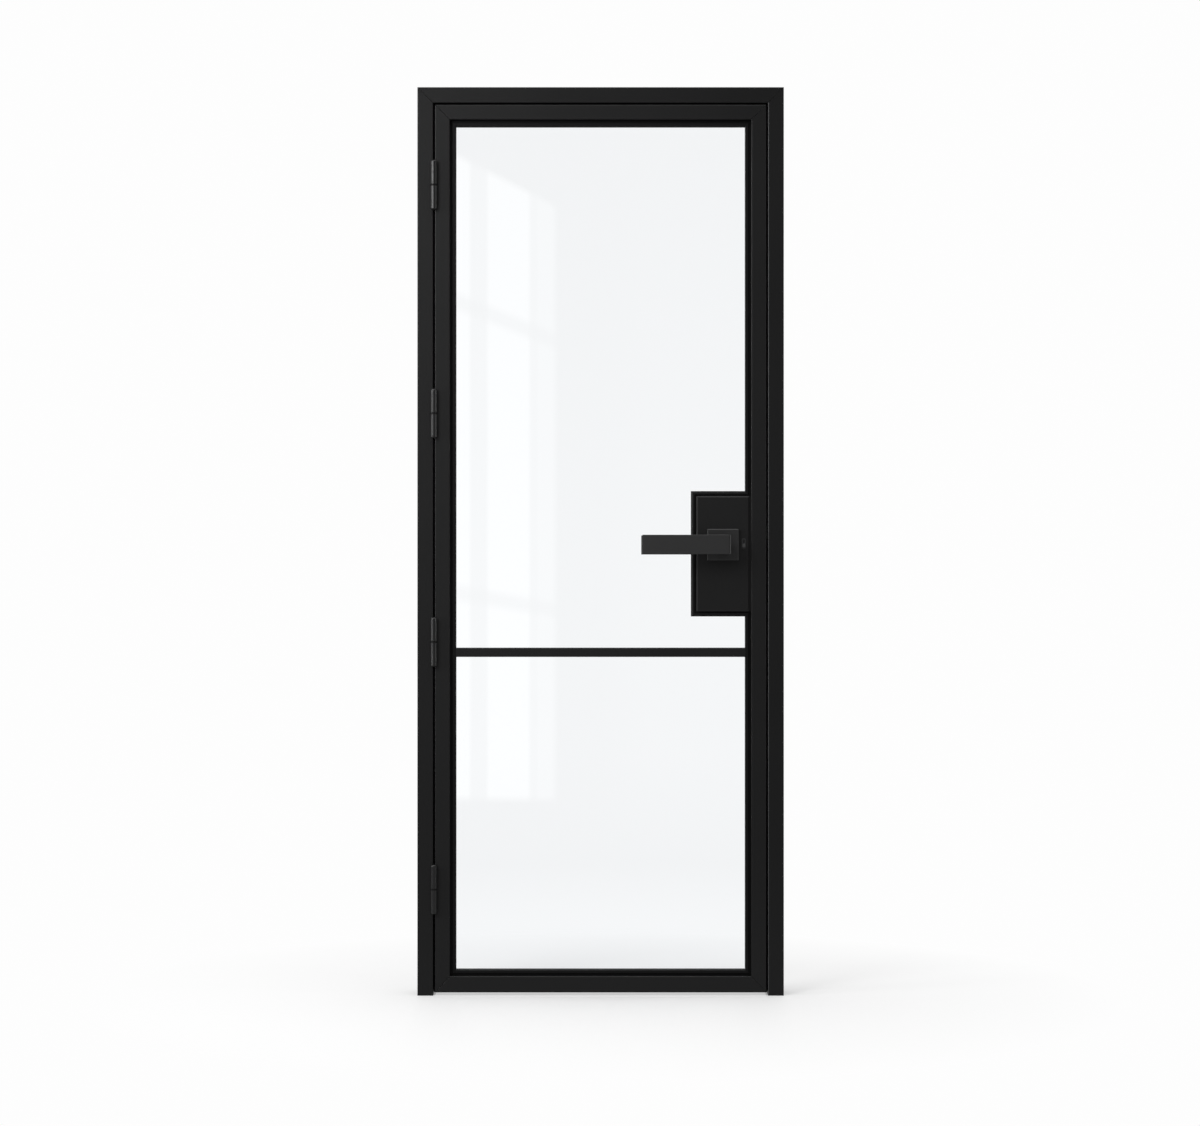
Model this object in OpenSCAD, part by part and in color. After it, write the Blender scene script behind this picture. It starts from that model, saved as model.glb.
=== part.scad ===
// Glass door leaf hung in a three-sided steel frame, with the wall left out.
// X runs right, Y runs away through the doorway, Z runs up. Millimetres.
// The origin is on the floor, midway across the frame, on the leaf's middle plane.

/* [Frame] */
// Overall width of the frame
frame_w = 835; // [740:1:1250]
// Overall height of the frame
frame_h = 2070; // [1700:1:2600]
// Width of the frame members' faces
frame_face = 36; // [28:1:60]
// Width of the stop that the leaf closes against
stop_w = 14; // [10:1:20]
// Depth of that stop
stop_d = 24; // [12:1:60]
// Room for the seal between the leaf and the stop
seal_room = 4; // [3:0.5:8]
// Width of the seal
seal_w = 8; // [5:0.5:9]
// Height of the seal's lower end above the floor
seal_foot = 2; // [1:0.5:8]
// Sheet thickness of the frame sections
frame_wall = 2; // [1.5:0.1:3]
// Radius of the outside edges of all sections
arris = 2; // [0.5:0.1:2]

/* [Leaf] */
// Gap between the leaf and the frame, at the sides and the top
side_gap = 4; // [3:0.1:6]
// Gap between the leaf and the floor
floor_gap = 7; // [4:0.5:20]
// Depth of the leaf, front to back
leaf_depth = 44; // [40:1:60]
// Width of the faces of the stiles and the top rail
rail_face = 34; // [28:1:60]
// Width of the bottom rail's face
bottom_face = 37; // [28:1:80]
// Sheet thickness of the stiles and rails
rail_wall = 2; // [1.5:0.1:3]
// Height of the glazing bar's middle above the floor
bar_z = 781.5; // [500:0.5:820]
// Height of the glazing bar's face
bar_h = 20; // [16:1:40]
// Thickness of the glazing bar's web
bar_web = 6; // [5:0.5:8]

/* [Glazing] */
// Thickness of the glass
glass_t = 8; // [6:1:12]
// Clearance between a glass edge and the metal round it
edge_clear = 3; // [2:0.5:5]
// Thickness of the gasket on each side of the glass
gasket_t = 2; // [1:0.5:4]
// Width of the gasket that shows past a bead
gasket_show = 0.5; // [0:0.5:2]
// Width of the glazing beads
bead_w = 13; // [11:1:20]
// Width of the beads round the lock box
box_bead_w = 9; // [8:1:16]
// Depth of the glazing beads at their raised edge
bead_d = 8; // [7.5:0.5:10]
// Width of the channel between a bead's raised edge and the metal
bead_channel = 6; // [1:0.5:6]
// Width of the channel round the lock box
box_channel = 4; // [1:0.5:5]
// Depth of those channels
channel_d = 2.5; // [0.5:0.5:2.5]
// Thickness of the fixed fin behind the glass
fin_t = 3; // [2:0.5:5]

/* [Hinges] */
// Length of a hinge
hinge_l = 112; // [96:1:140]
// Outside radius of a knuckle
knuckle_r = 7; // [6:0.5:9]
// Radius of a hinge pin
pin_r = 3.5; // [3:0.1:4]
// Thickness of the washer between two knuckles
washer_t = 1.1; // [0.8:0.1:2]
// Width of the bevel where two knuckles meet
knuckle_bevel = 1; // [0.3:0.1:1.5]
// Depth of a hinge blade behind the leaf's face
blade_d = 34; // [28:1:38]
// Distance of the top hinge's middle below the leaf's top
hinge_drop = 184; // [120:1:260]
// Distance between the middles of the upper three hinges
hinge_pitch = 520; // [400:1:560]
// Height of the bottom hinge's middle above the leaf's bottom
hinge_rise = 236; // [100:1:300]

/* [Lock] */
// Height of the lever's axis above the floor
lever_z = 1027.4; // [950:0.1:1150]
// Distance from the leaf's edge to the lever's axis
backset = 99; // [92:1:130]
// Distance from the lever's axis to the lock box's far side
box_reach = 60; // [52:1:90]
// Height of the lock box
box_h = 262.5; // [220:0.5:320]
// Height of the lever's axis above the lock box's bottom
box_drop = 151.9; // [110:0.1:170]
// Depth of the lock box, front to back
box_d = 34; // [30:1:38]
// Thickness of the cover plates on the lock box
cover_t = 3; // [2:0.5:3]
// Width of the bevel round a cover plate
cover_bevel = 2.5; // [0.5:0.5:3]
// Gap between a cover plate and the lock stile
cover_gap = 5; // [2:0.5:8]
// Height of the latch case
case_h = 155; // [140:1:170]
// Thickness of the latch case
case_t = 16; // [14:1:20]
// Sheet thickness of the latch case
case_wall = 1.5; // [1:0.1:2]
// Width of the latch's faceplate
face_w = 20; // [18:1:24]
// Height of the latch's faceplate
face_h = 200; // [180:1:220]
// Height of the latch bolt's head
latch_h = 25; // [20:1:30]
// Thickness of the latch bolt's head
latch_t = 12; // [10:1:12]
// Travel of the latch bolt
latch_throw = 12.5; // [10:0.5:14]
// Height of the latch's middle above the lever's axis
latch_rise = 25.6; // [24:0.1:32]
// Height of the strike plate
strike_h = 140; // [120:1:180]
// Width of the strike plate
strike_w = 24; // [20:1:30]

/* [Levers] */
// Length of a lever's bar
lever_l = 200.4; // [140:0.1:230]
// Length of a lever's bar past its axis
lever_past = 16.2; // [15:0.1:26]
// Height of a lever's bar
lever_h = 44; // [20:0.1:44]
// Thickness of a lever's bar
lever_t = 12; // [8:1:16]
// Distance from the leaf's face to a lever's outer face
lever_stand = 62; // [55:1:80]
// Radius of the upright edge at a lever's end
lever_end_r = 6; // [2:0.5:8]
// Radius of a lever's neck
neck_r = 11; // [10:0.5:13]
// Width across the square spindle
spindle_w = 8; // [7:0.5:9]
// Width of the square roses
rose_w = 71.5; // [60:0.5:76]
// Thickness of the roses
rose_t = 9; // [7:0.5:12]
// Width of the bevel round a rose
rose_bevel = 2; // [0.5:0.5:3]
// Distance between the two bolts through a pair of roses
bolt_pitch = 38; // [34:1:44]
// Width of the snib's plate
snib_w = 10; // [8:0.5:12]
// Height of the snib's plate
snib_h = 25; // [22:1:34]
// Travel of the snib
snib_throw = 8; // [5:0.5:8]

/* [Fixings] */
// Radius of the wall fixing holes
anchor_r = 4.25; // [3:0.25:6]
// Distance between the outer two fixing holes of a jamb
anchor_outer = 1540; // [1500:10:1560]
// Distance between the inner two fixing holes of a jamb
anchor_inner = 640; // [600:10:660]
// Height of the middle of each pair above the floor
anchor_z = 880; // [870:10:890]

/* [Hidden] */
$fn = 64;

// Clearances
run_fit = 0.05;      // radial, pins and journals
slide_fit = 0.3;     // round what slides or is soft
hole_fit = 0.3;      // round what only passes through
blade_fit = 0.2;     // from a hinge blade to the middle of the gap
groove_w = 1.5;      // width of the groove along a mitre
over = 1;            // how far a cutter runs past what it cuts

// Leaf and frame planes
frame_x = frame_w / 2;
reveal_x = frame_x - frame_face;
leaf_x = reveal_x - side_gap;
leaf_top = frame_h - frame_face - side_gap;
leaf_bottom = floor_gap;
front_y = -leaf_depth / 2;
rear_y = leaf_depth / 2;
stop_y = rear_y + seal_room;
back_y = stop_y + stop_d;

// Glazing planes
pane_x = leaf_x - rail_face;
pane_top = leaf_top - rail_face;
pane_bottom = leaf_bottom + bottom_face;
glass_y = glass_t / 2;
seat_y = glass_y + gasket_t;
bead_front = -seat_y - bead_d;
fin_back = seat_y + fin_t;
bead_round = 0.8;

// The opening's edges at the beads of the rails
sight_x = pane_x - bead_w;
sight_top = pane_top - bead_w;
sight_bottom = pane_bottom + bead_w;

// Hinge geometry
hinge_x = -leaf_x - side_gap / 2;
hinge_y = front_y - knuckle_r;
blade_back = front_y + blade_d;
blade_front = front_y + 0.5;
blade_t = side_gap / 2 - blade_fit;
knuckle_end = hinge_l / 2;
knuckle_gap = washer_t / 2 + run_fit;
knuckle_dome = 3;
pin_end = 4;
hinge_zs = [leaf_top - hinge_drop, leaf_top - hinge_drop - hinge_pitch,
            leaf_top - hinge_drop - 2 * hinge_pitch, leaf_bottom + hinge_rise];
hinge_screw_dz = hinge_l / 3;
pad_t = 4;
pad_h = hinge_l - 8;

// Machine screws of the hinges, the faceplate and the strike
screw_r = 2.5;
screw_l = 12;
screw_head = 4;

// Small screws of the beads and the glazing bar
bead_screw_r = 1.25;
bead_screw_l = 20;
bead_screw_head = 2.4;

// Lock geometry
axis_x = leaf_x - backset;
box_x = axis_x - box_reach;
box_bottom = lever_z - box_drop;
box_top = box_bottom + box_h;
box_y = box_d / 2;
box_wall = 2;
sight_box_x = box_x - box_bead_w;
sight_box_top = box_top + box_bead_w;
sight_box_bottom = box_bottom - box_bead_w;
cover_x = pane_x - cover_gap;
cover_y = box_y + cover_t;
case_x = axis_x - 46.5;
case_y = case_t / 2;
latch_z = lever_z + latch_rise;
latch_back = leaf_x - 25.5;
tail_x = axis_x - 11.8;
tail_h = 8;
tail_t = 6;
lug_w = 6;
arm_r = 20;
arm_w = 8;
hub_r = 9;
follower_r = 12;
spring_r = 4.5;
wire_r = 0.7;
tab_t = 4;
strike_x = reveal_x + frame_wall;

// Lever geometry
lever_y = -front_y + lever_stand;
neck_end = cover_y + 0.5;
rose_base_r = 27;
rose_base_t = 6;
bolt_r = 2;
sleeve_r = 3;
bolt_head_r = 3.5;
grub_r = 2.5;
snib_x = (axis_x + rose_w / 2 + cover_x) / 2;
snib_z = lever_z + 2.6;
snib_t = 1.5;
slot_w = 4.2;
slot_h = snib_h - 8;

// Colours
black_coat = [0.10, 0.10, 0.11];
black_satin = [0.16, 0.16, 0.17];
zinc = [0.72, 0.73, 0.74];
rubber = [0.05, 0.05, 0.05];
glass_tint = [0.80, 0.90, 0.88, 0.35];

// ---- Helpers ----

// A box from its lowest corner to its highest
module block(lo, hi) {
  translate(lo) cube(hi - lo);
}

// Turn that takes +Z to the given axis direction
function turn_to(way) =
  way.x != 0 ? [0, 90 * way.x, 0] :
  way.y != 0 ? [-90 * way.y, 0, 0] :
  [way.z < 0 ? 180 : 0, 0, 0];

// A round bar from a point along an axis direction
module rod(at, way, r, l) {
  translate(at) rotate(turn_to(way)) cylinder(r = r, h = l);
}

// A hexagon socket in a screw's end, sunk from the point along an axis direction
module socket(at, way, r, depth) {
  translate(at) rotate(turn_to(way)) translate([0, 0, -over])
    cylinder(r = r, h = depth + over, $fn = 6);
}

// A countersunk screw, its head's flat face at the point, running along an axis direction.
// With extra, it is the hole for that screw.
module screw(at, way, r, l, head, extra = 0) {
  difference() {
    translate(at) rotate(turn_to(way)) {
      cylinder(r1 = head + extra, r2 = r + extra, h = head - r);
      cylinder(r = r + extra, h = l + extra);
    }
    if (extra == 0) socket(at, way, 0.65 * r, 0.8 * r);
  }
}

// An outline drawn in X and Z, filled from y0 to y1
module upright(y0, y1) {
  translate([0, y1, 0]) rotate([90, 0, 0]) linear_extrude(y1 - y0) children();
}

// An outline drawn in Y and Z, filled from x0 to x1
module sideways(x0, x1) {
  translate([x0, 0, 0]) rotate([90, 0, 90]) linear_extrude(x1 - x0) children();
}

// A rectangle with round corners, from its lowest corner to its highest
module soft_rect(lo, hi, r) {
  translate([lo.x + r, lo.y]) square([hi.x - lo.x - 2 * r, hi.y - lo.y]);
  translate([lo.x, lo.y + r]) square([hi.x - lo.x, hi.y - lo.y - 2 * r]);
  for (x = [lo.x + r, hi.x - r], y = [lo.y + r, hi.y - r])
    translate([x, y]) circle(r);
}

// A plain rectangle from its lowest corner to its highest
module rect(lo, hi) {
  translate(lo) square(hi - lo);
}

// An upright slot outline with round ends
module capsule(w, h) {
  square([w, h - w], center = true);
  for (side = [-1, 1]) translate([0, side * (h - w) / 2]) circle(w / 2);
}

// Places of n things set evenly between a and b
function spread(n, a, b) = [for (i = [0:n - 1]) a + (i + 0.5) * (b - a) / n];

// ---- Sections and mitres ----

// Rebated frame section: X inwards from the frame's outer edge, Y as in the model
module frame_section() {
  difference() {
    union() {
      soft_rect([0, front_y], [frame_face, back_y], arris);
      soft_rect([frame_face / 2, stop_y], [frame_face + stop_w, back_y], arris);
    }
    rect([frame_wall, front_y + frame_wall], [frame_face - frame_wall, back_y - frame_wall]);
    rect([frame_face / 2, stop_y + frame_wall],
         [frame_face + stop_w - frame_wall, back_y - frame_wall]);
  }
}

// Leaf section of a given face width: a tube with the fixed glazing fin
module rail_section(face) {
  difference() {
    union() {
      soft_rect([0, front_y], [face, rear_y], arris);
      rect([face - rail_wall, seat_y], [face + bead_w, fin_back]);
    }
    rect([rail_wall, front_y + rail_wall], [face - rail_wall, rear_y - rail_wall]);
  }
}

// A section carried up the left side, from z0 to z1
module left_member(x, z0, z1) {
  translate([-x, 0, z0]) linear_extrude(z1 - z0) children();
}

// A section carried across under the height z
module top_member(x, z) {
  translate([-x, 0, z]) rotate([0, 90, 0]) linear_extrude(2 * x) children();
}

// Keeps what lies between the cuts of a left side member: 45 degrees at the top, and at the
// bottom through the points of a cut, each a way inwards and a way up, the inmost first
module left_mitre(x, z0, z1, reach, cut) {
  intersection() {
    children();
    upright(front_y - over, back_y + over)
      polygon(concat([[-x, z0], [-x, z1], [-x + reach, z1 - reach]],
                     [for (p = cut) [-x + p.x, z0 + p.y]]));
  }
}

// Keeps what lies between the cuts of a top member, given in the same way
module top_mitre(x, z, cut) {
  last = len(cut) - 1;
  intersection() {
    children();
    upright(front_y - over, back_y + over)
      polygon(concat([[-x, z], [x, z]], [for (i = [last:-1:0]) [x - cut[i].x, z - cut[i].y]],
                     [for (p = cut) [-x + p.x, z - p.y]]));
  }
}

// Fine grooves along the mitres that start at the corners (-x, z) and (x, z)
module mitre_grooves(x, z, rise, faces, slope = 45) {
  reach = 2 * (frame_face + stop_w) * sqrt(2);
  s = groove_w / sqrt(2);
  for (side = [-1, 1], y = faces)
    translate([side * x, y, z]) rotate([0, -slope * side * rise, 0]) rotate([45, 0, 0])
      cube([reach, s, s], center = true);
}

// Outline of the edge of a bevelled plate: a to b across, Y outwards
module bevelled_edge(a, b, t, bevel) {
  polygon([[a, 0], [b, 0], [b, t - bevel / 2], [b - bevel, t], [a + bevel, t], [a, t - bevel / 2]]);
}

// A plate over X and Z from lo to hi, with its back at Y = 0 and a bevel round its front
module bevelled_plate(lo, hi, t, bevel) {
  intersection() {
    translate([0, 0, lo.y]) linear_extrude(hi.y - lo.y) bevelled_edge(lo.x, hi.x, t, bevel);
    sideways(lo.x, hi.x) mirror([1, -1]) bevelled_edge(lo.y, hi.y, t, bevel);
  }
}

// ---- Screws that several pieces share ----

glazing_y = -seat_y - (bead_d - channel_d) / 2;
// Each entry is a head's place and the way the screw runs
glazing_places = concat(
  [for (z = spread(5, pane_bottom, pane_top)) [[-sight_x, glazing_y, z], [-1, 0, 0]]],
  [for (z = spread(3, sight_box_top, sight_top)) [[sight_x, glazing_y, z], [1, 0, 0]]],
  [for (z = spread(3, sight_bottom, sight_box_bottom))
    [[sight_x, glazing_y, z], [1, 0, 0]]],
  [for (x = spread(3, -sight_x, sight_x)) [[x, glazing_y, sight_top], [0, 0, 1]]],
  [for (x = spread(3, -sight_x, sight_x)) [[x, glazing_y, sight_bottom], [0, 0, -1]]],
  [for (x = spread(3, -sight_x, sight_x)) [[x, fin_back, bar_z], [0, -1, 0]]],
  [for (z = spread(2, box_bottom, box_top)) [[sight_box_x, glazing_y, z], [1, 0, 0]]],
  [[[(box_x + sight_x) / 2, glazing_y, sight_box_top], [0, 0, -1]]],
  [[[(box_x + sight_x) / 2, glazing_y, sight_box_bottom], [0, 0, 1]]]);

module glazing_screw_set(extra) {
  for (p = glazing_places)
    screw(p[0], p[1], bead_screw_r, bead_screw_l, bead_screw_head, extra);
}

// Places of the three screws of one hinge half, as Y and Z
function hinge_screw_spots(z) = [for (i = [-1, 0, 1])
  [front_y + blade_d / 2 + (i == 0 ? 5 : -5), z + i * hinge_screw_dz]];

// The screws of a hinge's half: side -1 runs into the jamb and 1 into the leaf
module hinge_screw_set(side, extra) {
  for (z = hinge_zs, spot = hinge_screw_spots(z))
    screw([hinge_x + side * blade_fit, spot.x, spot.y], [side, 0, 0],
          screw_r, screw_l, screw_head, extra);
}

faceplate_spot = face_h / 2 - 9;
module faceplate_screw_set(extra) {
  for (side = [-1, 1])
    screw([leaf_x, 0, lever_z + side * faceplate_spot], [-1, 0, 0],
          screw_r, screw_l, screw_head, extra);
}

strike_spot = strike_h / 2 - 10;
module strike_screw_set(extra) {
  for (side = [-1, 1])
    screw([reveal_x, 0, latch_z + side * strike_spot], [1, 0, 0],
          screw_r, screw_l, screw_head, extra);
}

// ---- Frame ----

frame_reach = frame_face + stop_w + over;

// Wall fixing holes through one jamb; side is -1 or 1
module anchor_holes(side) {
  for (pitch = [anchor_outer, anchor_inner], end = [-1, 1])
    rod([side * (reveal_x - over), 0, anchor_z + end * pitch / 2], [side, 0, 0],
        anchor_r, frame_face + 2 * over);
}

module hinge_jamb() {
  color(black_coat) difference() {
    union() {
      left_mitre(frame_x, 0, frame_h, frame_reach, [[frame_reach, 0]])
        left_member(frame_x, 0, frame_h) frame_section();
      for (z = hinge_zs)
        block([-reveal_x - frame_wall - pad_t, front_y + frame_wall, z - pad_h / 2],
              [-reveal_x - frame_wall, blade_back, z + pad_h / 2]);
    }
    hinge_screw_set(-1, run_fit);
    anchor_holes(-1);
    mitre_grooves(frame_x, frame_h, 1, [front_y, back_y]);
  }
}

module strike_jamb() {
  cut_y = strike_w / 2 + run_fit;
  cut_z = strike_h / 2 + run_fit;
  color(black_coat) difference() {
    union() {
      difference() {
        mirror([1, 0, 0]) left_mitre(frame_x, 0, frame_h, frame_reach, [[frame_reach, 0]])
          left_member(frame_x, 0, frame_h) frame_section();
        block([reveal_x - over, -cut_y, latch_z - cut_z],
              [strike_x + over, cut_y, latch_z + cut_z]);
      }
      for (side = [-1, 1])
        translate([0, 0, latch_z + side * strike_spot])
          block([strike_x, -cut_y - 4, -14], [strike_x + tab_t, cut_y + 4, 14]);
    }
    strike_screw_set(run_fit);
    anchor_holes(1);
    mitre_grooves(frame_x, frame_h, 1, [front_y, back_y]);
  }
}

module frame_head() {
  color(black_coat) difference() {
    top_mitre(frame_x, frame_h, [[frame_reach, frame_reach]])
      top_member(frame_x, frame_h) frame_section();
    mitre_grooves(frame_x, frame_h, 1, [front_y, back_y]);
  }
}

// One strip of seal up both jambs and across the head, on the stop's face
module weather_seal() {
  edge = (stop_w - seal_w) / 2 - 1;
  outer_x = reveal_x - edge;
  outer_z = frame_h - frame_face - edge;
  color(rubber) upright(rear_y + slide_fit, stop_y) difference() {
    rect([-outer_x, seal_foot], [outer_x, outer_z]);
    rect([-outer_x + seal_w, 0], [outer_x - seal_w, outer_z - seal_w]);
  }
}

module latch_window(grow) {
  rect([-latch_t / 2 - grow, latch_z - latch_h / 2 - grow],
       [latch_t / 2 + grow, latch_z + latch_h / 2 + grow]);
}

module strike_plate() {
  color(black_satin) difference() {
    sideways(reveal_x, strike_x) difference() {
      rect([-strike_w / 2, latch_z - strike_h / 2], [strike_w / 2, latch_z + strike_h / 2]);
      latch_window(0.5);
    }
    strike_screw_set(run_fit);
  }
}

// Open cup behind the strike plate that takes the latch
module strike_box() {
  depth = 18;
  wall = 1.2;
  color(zinc) difference() {
    sideways(strike_x, strike_x + depth) latch_window(2.5);
    sideways(strike_x - over, strike_x + depth - wall) latch_window(2.5 - wall);
  }
}

module strike_screws() {
  color(black_satin) strike_screw_set(0);
}

// ---- Hinges ----

// The upper knuckle of a hinge, standing on its middle; the lower one is its mirror
module knuckle() {
  rotate_extrude() {
    rect([0, knuckle_gap + knuckle_bevel], [knuckle_r, knuckle_end - knuckle_dome]);
    polygon([[0, knuckle_gap], [knuckle_r - knuckle_bevel, knuckle_gap],
             [knuckle_r, knuckle_gap + knuckle_bevel], [0, knuckle_gap + knuckle_bevel]]);
    rect([0, knuckle_end - knuckle_dome], [knuckle_r - knuckle_dome, knuckle_end]);
    translate([knuckle_r - knuckle_dome, knuckle_end - knuckle_dome]) circle(knuckle_dome);
  }
}

// A hinge half: side 1 is screwed to the leaf and has the upper knuckle
module hinge_half(z, side) {
  near_x = hinge_x + side * blade_fit;
  far_x = hinge_x + side * side_gap / 2;
  color(black_satin) difference() {
    union() {
      translate([hinge_x, hinge_y, z]) mirror([0, 0, side > 0 ? 0 : 1]) knuckle();
      block([min(near_x, far_x), blade_front, z - knuckle_end],
            [max(near_x, far_x), blade_back, z + knuckle_end]);
      translate([0, 0, z]) mirror([0, 0, side > 0 ? 0 : 1])
        block([min(near_x, far_x), hinge_y, knuckle_gap],
              [max(near_x, far_x), blade_front + over, knuckle_end - knuckle_dome]);
    }
    translate([hinge_x, hinge_y, z]) mirror([0, 0, side > 0 ? 0 : 1])
      cylinder(r = pin_r + run_fit, h = knuckle_end - pin_end);
    hinge_screw_set(side, run_fit);
  }
}

module hinge_pins() {
  for (z = hinge_zs)
    color(zinc) rod([hinge_x, hinge_y, z - knuckle_end + pin_end], [0, 0, 1],
                    pin_r, hinge_l - 2 * pin_end - 1);
}

module hinge_washers() {
  for (z = hinge_zs)
    color(black_satin) translate([hinge_x, hinge_y, z - knuckle_gap]) difference() {
      cylinder(r = knuckle_r - knuckle_bevel - 0.5, h = washer_t);
      translate([0, 0, -over]) cylinder(r = pin_r + run_fit, h = washer_t + 2 * over);
    }
}

module hinge_frame_screws() {
  color(zinc) hinge_screw_set(-1, 0);
}

module hinge_leaf_screws() {
  color(zinc) hinge_screw_set(1, 0);
}

// ---- Leaf ----

rail_reach = rail_face + bead_w + over;
bottom_cut = [[rail_reach, bottom_face + bead_w + over], [rail_face, bottom_face]];

// A plain left stile with its mitres and its fin
module plain_stile() {
  left_mitre(leaf_x, leaf_bottom, leaf_top, rail_reach, bottom_cut)
    left_member(leaf_x, leaf_bottom, leaf_top) rail_section(rail_face);
}

module leaf_grooves() {
  mitre_grooves(leaf_x, leaf_top, 1, [front_y, rear_y]);
  mitre_grooves(leaf_x, leaf_bottom, -1, [front_y, rear_y], atan2(bottom_face, rail_face));
}

module hinge_stile() {
  color(black_coat) difference() {
    union() {
      plain_stile();
      for (z = hinge_zs)
        block([-leaf_x + rail_wall, front_y + rail_wall, z - pad_h / 2],
              [-leaf_x + rail_wall + pad_t, blade_back, z + pad_h / 2]);
    }
    hinge_screw_set(1, run_fit);
    glazing_screw_set(run_fit);
    leaf_grooves();
  }
}

module lock_stile() {
  cut_y = face_w / 2 + run_fit;
  cut_z = face_h / 2 + run_fit;
  color(black_coat) difference() {
    union() {
      difference() {
        mirror([1, 0, 0]) plain_stile();
        // window for the faceplate in the outer wall
        block([leaf_x - rail_wall - over, -cut_y, lever_z - cut_z],
              [leaf_x + over, cut_y, lever_z + cut_z]);
        // window for the latch case in the inner wall
        block([pane_x - over, -case_y - hole_fit, lever_z - case_h / 2 - hole_fit],
              [pane_x + rail_wall + over, case_y + hole_fit, lever_z + case_h / 2 + hole_fit]);
        // no fin beside the lock box
        block([sight_x - over, seat_y - over, box_bottom], [pane_x, fin_back + over, box_top]);
      }
      for (side = [-1, 1])
        translate([0, 0, lever_z + side * (faceplate_spot + 4)])
          block([leaf_x - rail_wall - tab_t, -cut_y - 4, -14],
                [leaf_x - rail_wall, cut_y + 4, 14]);
    }
    faceplate_screw_set(run_fit);
    glazing_screw_set(run_fit);
    leaf_grooves();
  }
}

module top_rail() {
  color(black_coat) difference() {
    top_mitre(leaf_x, leaf_top, [[rail_reach, rail_reach]])
      top_member(leaf_x, leaf_top) rail_section(rail_face);
    glazing_screw_set(run_fit);
    leaf_grooves();
  }
}

module bottom_rail() {
  color(black_coat) difference() {
    translate([0, 0, leaf_bottom]) mirror([0, 0, 1])
      top_mitre(leaf_x, 0, bottom_cut) top_member(leaf_x, 0) rail_section(bottom_face);
    glazing_screw_set(run_fit);
    leaf_grooves();
  }
}

// T-shaped bar between the panes: a web, and a flange behind the glass
module glazing_bar() {
  color(black_coat) difference() {
    union() {
      block([-pane_x, -seat_y, bar_z - bar_web / 2], [pane_x, seat_y, bar_z + bar_web / 2]);
      block([-sight_x, seat_y, bar_z - bar_h / 2], [sight_x, fin_back, bar_z + bar_h / 2]);
    }
    glazing_screw_set(run_fit);
  }
}

module glazing_bar_cap() {
  color(black_coat) difference() {
    sideways(-sight_x, sight_x)
      soft_rect([bead_front, bar_z - bar_h / 2], [-seat_y, bar_z + bar_h / 2], bead_round);
    glazing_screw_set(run_fit);
  }
}

// ---- Glass, gaskets and beads ----

// Opening for the upper pane, drawn in by its own amount at the rails, the bar and the box
module upper_outline(rails, bar, box) {
  x = pane_x - rails;
  top = pane_top - rails;
  bottom = bar_z + bar_web / 2 + bar;
  polygon([[-x, bottom], [x, bottom], [x, box_bottom - box], [box_x - box, box_bottom - box],
           [box_x - box, box_top + box], [x, box_top + box], [x, top], [-x, top]]);
}

// Opening for the lower pane, drawn in by its own amount at the rails and the bar
module lower_outline(rails, bar) {
  rect([-pane_x + rails, pane_bottom + rails],
       [pane_x - rails, bar_z - bar_web / 2 - bar]);
}

rail_bite = bead_w + gasket_show;
bar_bite = (bar_h - bar_web) / 2 + gasket_show;
box_bite = box_bead_w + gasket_show;

module upper_glass() {
  color(glass_tint) upright(-glass_y, glass_y)
    upper_outline(edge_clear, edge_clear, edge_clear);
}

module lower_glass() {
  color(glass_tint) upright(-glass_y, glass_y) lower_outline(edge_clear, edge_clear);
}

module upper_gasket() {
  color(rubber) difference() {
    upright(-seat_y, seat_y) upper_outline(0, 0, 0);
    upright(-seat_y - over, seat_y + over) upper_outline(rail_bite, bar_bite, box_bite);
    upright(-glass_y, glass_y) upper_outline(edge_clear, edge_clear, edge_clear);
  }
}

module lower_gasket() {
  color(rubber) difference() {
    upright(-seat_y, seat_y) lower_outline(0, 0);
    upright(-seat_y - over, seat_y + over) lower_outline(rail_bite, bar_bite);
    upright(-glass_y, glass_y) lower_outline(edge_clear, edge_clear);
  }
}

// A bead's section, X from the glass opening to the metal: a raised edge, then the channel
module bead_section(w, channel) {
  soft_rect([0, bead_front], [w - channel, -seat_y], bead_round);
  rect([bead_round, bead_front + channel_d], [w, -seat_y]);
}

// A bead between the metal at m and the opening at s. Its mitred ends run from the two
// values a at the metal to the two values b at the opening.
module upright_bead(m, s, a, b, channel = bead_channel) {
  low = min(a[0], b[0]);
  color(black_coat) difference() {
    intersection() {
      translate([s, 0, low]) mirror([m < s ? 1 : 0, 0, 0])
        linear_extrude(max(a[1], b[1]) - low) bead_section(abs(m - s), channel);
      upright(bead_front - over, -seat_y + over)
        polygon([[m, a[0]], [m, a[1]], [s, b[1]], [s, b[0]]]);
    }
    glazing_screw_set(run_fit);
  }
}

// The same for a bead that lies level, with a and b along X
module level_bead(m, s, a, b, channel = bead_channel) {
  color(black_coat) difference() {
    intersection() {
      sideways(min(a[0], b[0]), max(a[1], b[1])) translate([0, s])
        mirror([0, m < s ? 1 : 0]) mirror([1, -1]) bead_section(abs(m - s), channel);
      upright(bead_front - over, -seat_y + over)
        polygon([[a[0], m], [a[1], m], [b[1], s], [b[0], s]]);
    }
    glazing_screw_set(run_fit);
  }
}

module bead_hinge_side() {
  upright_bead(-pane_x, -sight_x, [pane_bottom, pane_top], [sight_bottom, sight_top]);
}

module bead_above_lock() {
  upright_bead(pane_x, sight_x, [box_top, pane_top], [sight_box_top, sight_top]);
}

module bead_below_lock() {
  upright_bead(pane_x, sight_x, [pane_bottom, box_bottom], [sight_bottom, sight_box_bottom]);
}

module bead_top() {
  level_bead(pane_top, sight_top, [-pane_x, pane_x], [-sight_x, sight_x]);
}

module bead_bottom() {
  level_bead(pane_bottom, sight_bottom, [-pane_x, pane_x], [-sight_x, sight_x]);
}

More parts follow.
